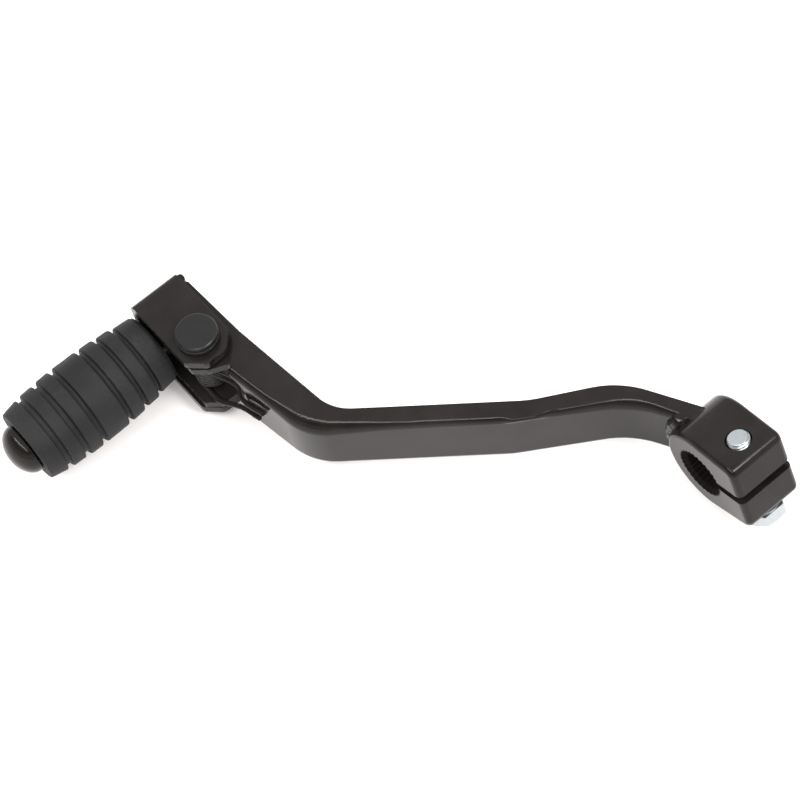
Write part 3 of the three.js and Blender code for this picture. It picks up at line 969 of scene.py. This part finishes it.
def washer(side):
    low = BRACKET_HALF + 0.15
    high = low + WASHER_THICKNESS
    inner = RIVET_RADIUS + 0.15
    profile = [(inner, low), (WASHER_RADIUS, low), (WASHER_RADIUS, high), (inner, high)]
    ring = turned("washer_upper" if side > 0 else "washer_lower", [(r, side * z) for r, z in profile], 96)
    smoothed(softened(ring, 0.22, 3), 40)
    return placed(ring, "toe_piece", RIVET_BLACK)


# ---------------------------------------------------------------- torsion spring


def curve_through(points, steps=4):
    """A centripetal Catmull-Rom curve through the points, with that many steps between two."""
    padded = [points[0] * 2 - points[1], *points, points[-1] * 2 - points[-2]]
    path = []
    for a, b, c, d in zip(padded, padded[1:], padded[2:], padded[3:]):
        t1 = math.sqrt((b - a).length)
        t2 = t1 + math.sqrt((c - b).length)
        t3 = t2 + math.sqrt((d - c).length)
        for step in range(steps):
            t = t1 + (t2 - t1) * step / steps
            ab = a.lerp(b, t / t1)
            bc = b.lerp(c, (t - t1) / (t2 - t1))
            cd = c.lerp(d, (t - t2) / (t3 - t2))
            abc = ab.lerp(bc, t / t2)
            bcd = bc.lerp(cd, (t - t1) / (t3 - t1))
            path.append(abc.lerp(bcd, (t - t1) / (t2 - t1)))
    return path + [points[-1]]


def wire_rings(path, sides=16):
    """Round sections square to the path, without twist."""
    rings = []
    side = Vector((0, 0, 1))
    for index, point in enumerate(path):
        along = (path[min(index + 1, len(path) - 1)] - path[max(index - 1, 0)]).normalized()
        side = (side - along * side.dot(along)).normalized()
        other = along.cross(side)
        ring = []
        for turn in range(sides):
            angle = 2 * math.pi * turn / sides
            ring.append(tuple(point + (side * math.cos(angle) + other * math.sin(angle)) * WIRE_RADIUS))
        rings.append(ring)
    return rings


def coil_points(start_z, side):
    steps_per_turn = 12
    points = []
    for index in range(COIL_TURNS * steps_per_turn + 1):
        angle = math.pi / 2 - side * index * 2 * math.pi / steps_per_turn
        height = start_z - COIL_PITCH * index / steps_per_turn
        points.append(Vector((COIL_RADIUS * math.cos(angle), COIL_RADIUS * math.sin(angle), height)))
    return points


def torsion_spring():
    """Leg, upper coils, loop behind the peg, lower coils, leg: one wire in five pieces, so it can twist."""
    loop_half = COIL_PITCH / 2
    loop_x = PEG_X - PEG_RADIUS - 0.3 - WIRE_RADIUS
    top = loop_half + COIL_TURNS * COIL_PITCH
    slope = FACE[1][1] / (FACE[1][0] - FACE[0][0])

    def on_face(x, z):
        return Vector((x, slope * (x - FACE[0][0]) + 1.1, z))

    upper_leg = [on_face(-22.8, 3.2), on_face(-16.8, 1.5), Vector((-14, 0, 0.9)), Vector((-10.8, -1, 1.6)),
                 Vector((-6, 2, 5)), Vector((-2, COIL_RADIUS, top))]
    upper_bank = coil_points(top, 1)
    loop = [
        Vector((loop_x - 2, COIL_RADIUS + 0.1, loop_half)),
        Vector((loop_x - 0.3, COIL_RADIUS + 0.2, loop_half * 0.8)),
        Vector((loop_x, COIL_RADIUS + 0.2, 0)),
        Vector((loop_x - 0.3, COIL_RADIUS + 0.2, -loop_half * 0.8)),
        Vector((loop_x - 2, COIL_RADIUS + 0.1, -loop_half)),
    ]
    lower_bank = coil_points(-loop_half, -1)
    lower_leg = [Vector((-2, COIL_RADIUS, -top)), Vector((-6.4, 3.4, -top)), Vector((-7.8, 3.1, 0.3 - top)),
                 on_face(-13.5, -4.3), on_face(-20.4, -2)]
    steps = 4
    rings = wire_rings(curve_through(upper_leg + upper_bank + loop + lower_bank + lower_leg, steps))
    first_coil = len(upper_leg)
    last_coil = first_coil + len(upper_bank) - 1
    next_coil = last_coil + len(loop) + 1
    end_coil = next_coil + len(lower_bank) - 1
    final = first_coil + len(upper_bank) + len(loop) + len(lower_bank) + len(lower_leg) - 1
    spans = [
        ("spring_leg_upper", 0, first_coil, "lever"),
        ("spring_coils_upper", first_coil, last_coil, None),
        ("spring_loop", last_coil, next_coil, "toe_piece"),
        ("spring_coils_lower", next_coil, end_coil, None),
        ("spring_leg_lower", end_coil, final, "lever"),
    ]
    pieces = []
    for name, start, end, body in spans:
        piece = lofted(name, rings[start * steps:end * steps + 1])
        smoothed(piece, 60)
        # The legs take the darker, duller wire, painted shade for the fork's dark inside; the coils keep the
        # spring steel.
        finish = WIRE_IN_PAINTED_SHADE if body == "lever" else SPRING_STEEL
        pieces.append(placed(piece, body, finish))
    for piece, side in ((pieces[1], 1), (pieces[3], -1)):
        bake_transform(piece)
    return pieces[1]


# ---------------------------------------------------------------- floor, light and camera


def floor():
    """A warm white table under the lever's lowest point."""
    size = 3.0
    height = cad_box[0][2]
    mesh = bpy.data.meshes.new("floor")
    corners = [(-size, -size, height), (size, -size, height), (size, size, height), (-size, size, height)]
    mesh.from_pydata(corners, [], [(0, 1, 2, 3)])
    obj = bpy.data.objects.new("floor", mesh)
    bpy.context.scene.collection.objects.link(obj)
    material = bpy.data.materials.new("floor")
    material.use_nodes = True
    surface = material.node_tree.nodes["Principled BSDF"]
    surface.inputs["Base Color"].default_value = (0.96, 0.93, 0.915, 1)
    surface.inputs["Roughness"].default_value = 0.9
    surface.inputs["Specular IOR Level"].default_value = 0.1
    mesh.materials.append(material)


def softbox(name, direction, distance, width, height, power):
    """An area light on that side of the lever, facing it."""
    light = bpy.data.lights.new(name, "AREA")
    light.shape = "RECTANGLE"
    light.size = width
    light.size_y = height
    light.energy = power
    obj = bpy.data.objects.new(name, light)
    bpy.context.scene.collection.objects.link(obj)
    toward = Vector(direction).normalized()
    obj.location = AIM * MM + toward * distance
    obj.rotation_euler = toward.to_track_quat("Z", "Y").to_euler()


def grey_ramp(nodes, links, value, stops):
    """Greys over a value: the position and level of each stop."""
    node = nodes.new("ShaderNodeValToRGB")
    links.new(value, node.inputs["Fac"])
    elements = node.color_ramp.elements
    made = len(elements)
    for index, (position, level) in enumerate(stops):
        element = elements[index] if index < made else elements.new(position)
        element.position = position
        element.color = (level, level, level, 1)
    return node.outputs["Color"]


def studio():
    """A pale tent, bright above, with a dark opening behind the lever's left, and a strip light over it."""
    world = bpy.data.worlds.new("studio")
    bpy.context.scene.world = world
    world.use_nodes = True
    nodes = world.node_tree.nodes
    links = world.node_tree.links
    direction = nodes.new("ShaderNodeTexCoord").outputs["Generated"]
    split = nodes.new("ShaderNodeSeparateXYZ")
    links.new(direction, split.inputs["Vector"])
    height = split.outputs["Z"]
    tent = grey_ramp(nodes, links, height, [(0.0, 0.85), (0.75, 1.52)])
    band = grey_ramp(nodes, links, height, [(0.3, 0), (0.42, 1), (0.72, 1), (0.8, 0)])

    side = nodes.new("ShaderNodeVectorMath")
    side.operation = "DOT_PRODUCT"
    side.inputs[1].default_value = (-0.3, 0.95, 0)
    links.new(direction, side.inputs[0])
    half = nodes.new("ShaderNodeMapRange")
    half.inputs["From Min"].default_value = 0.1
    half.inputs["From Max"].default_value = 0.3
    links.new(side.outputs["Value"], half.inputs["Value"])
    opening = nodes.new("ShaderNodeMath")
    opening.operation = "MULTIPLY"
    links.new(band, opening.inputs[0])
    links.new(half.outputs["Result"], opening.inputs[1])

    dark = (0.06, 0.06, 0.06)
    shade = color_mix(nodes, links, opening.outputs["Value"], tent, dark)
    links.new(shade, nodes["Background"].inputs["Color"])
    softbox("strip", (-0.05, 0.48, 0.86), 0.9, 1.5, 0.07, 8.5)
    softbox("left", (-0.55, -0.21, 0.8), 0.9, 0.22, 0.3, 5)


def camera():
    data = bpy.data.cameras.new("camera")
    data.lens = CAMERA_LENS
    data.clip_start = 0.01
    obj = bpy.data.objects.new("camera", data)
    bpy.context.scene.collection.objects.link(obj)
    flat = math.cos(CAMERA_ELEVATION)
    sine = math.sin(CAMERA_AZIMUTH)
    cosine = math.cos(CAMERA_AZIMUTH)
    back = Vector((sine * flat, -cosine * flat, math.sin(CAMERA_ELEVATION)))
    level = Vector((cosine, sine, 0))
    right = Matrix.Rotation(CAMERA_ROLL, 3, back) @ level
    up = back.cross(right)
    turn = Matrix((right, up, back)).transposed()
    obj.matrix_world = Matrix.Translation((AIM + back * CAMERA_DISTANCE) * MM) @ turn.to_4x4()
    bpy.context.scene.camera = obj


# ---------------------------------------------------------------- the whole scene

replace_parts(arm(), "lever_channel")
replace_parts(clamp_boss(), "clamp_boss")
serrations()
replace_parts(threaded_shank(), "pinch_bolt")
hexagon_head()
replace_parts(boss_weld(), "boss_weld")
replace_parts(toe_bracket(), "toe_bracket")
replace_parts(peg_weld(1), "peg_weld_upper")
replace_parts(peg_weld(-1), "peg_weld_lower")
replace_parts(toe_peg(), "toe_peg")
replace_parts(rubber_grip(), "rubber_grip")
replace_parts(pivot_rivet(), "pivot_rivet")
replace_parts(washer(1), "upper_washer")
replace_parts(washer(-1), "lower_washer")
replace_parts(torsion_spring(), "torsion_spring")

floor()
studio()
camera()
bpy.context.scene.view_settings.view_transform = "Standard"
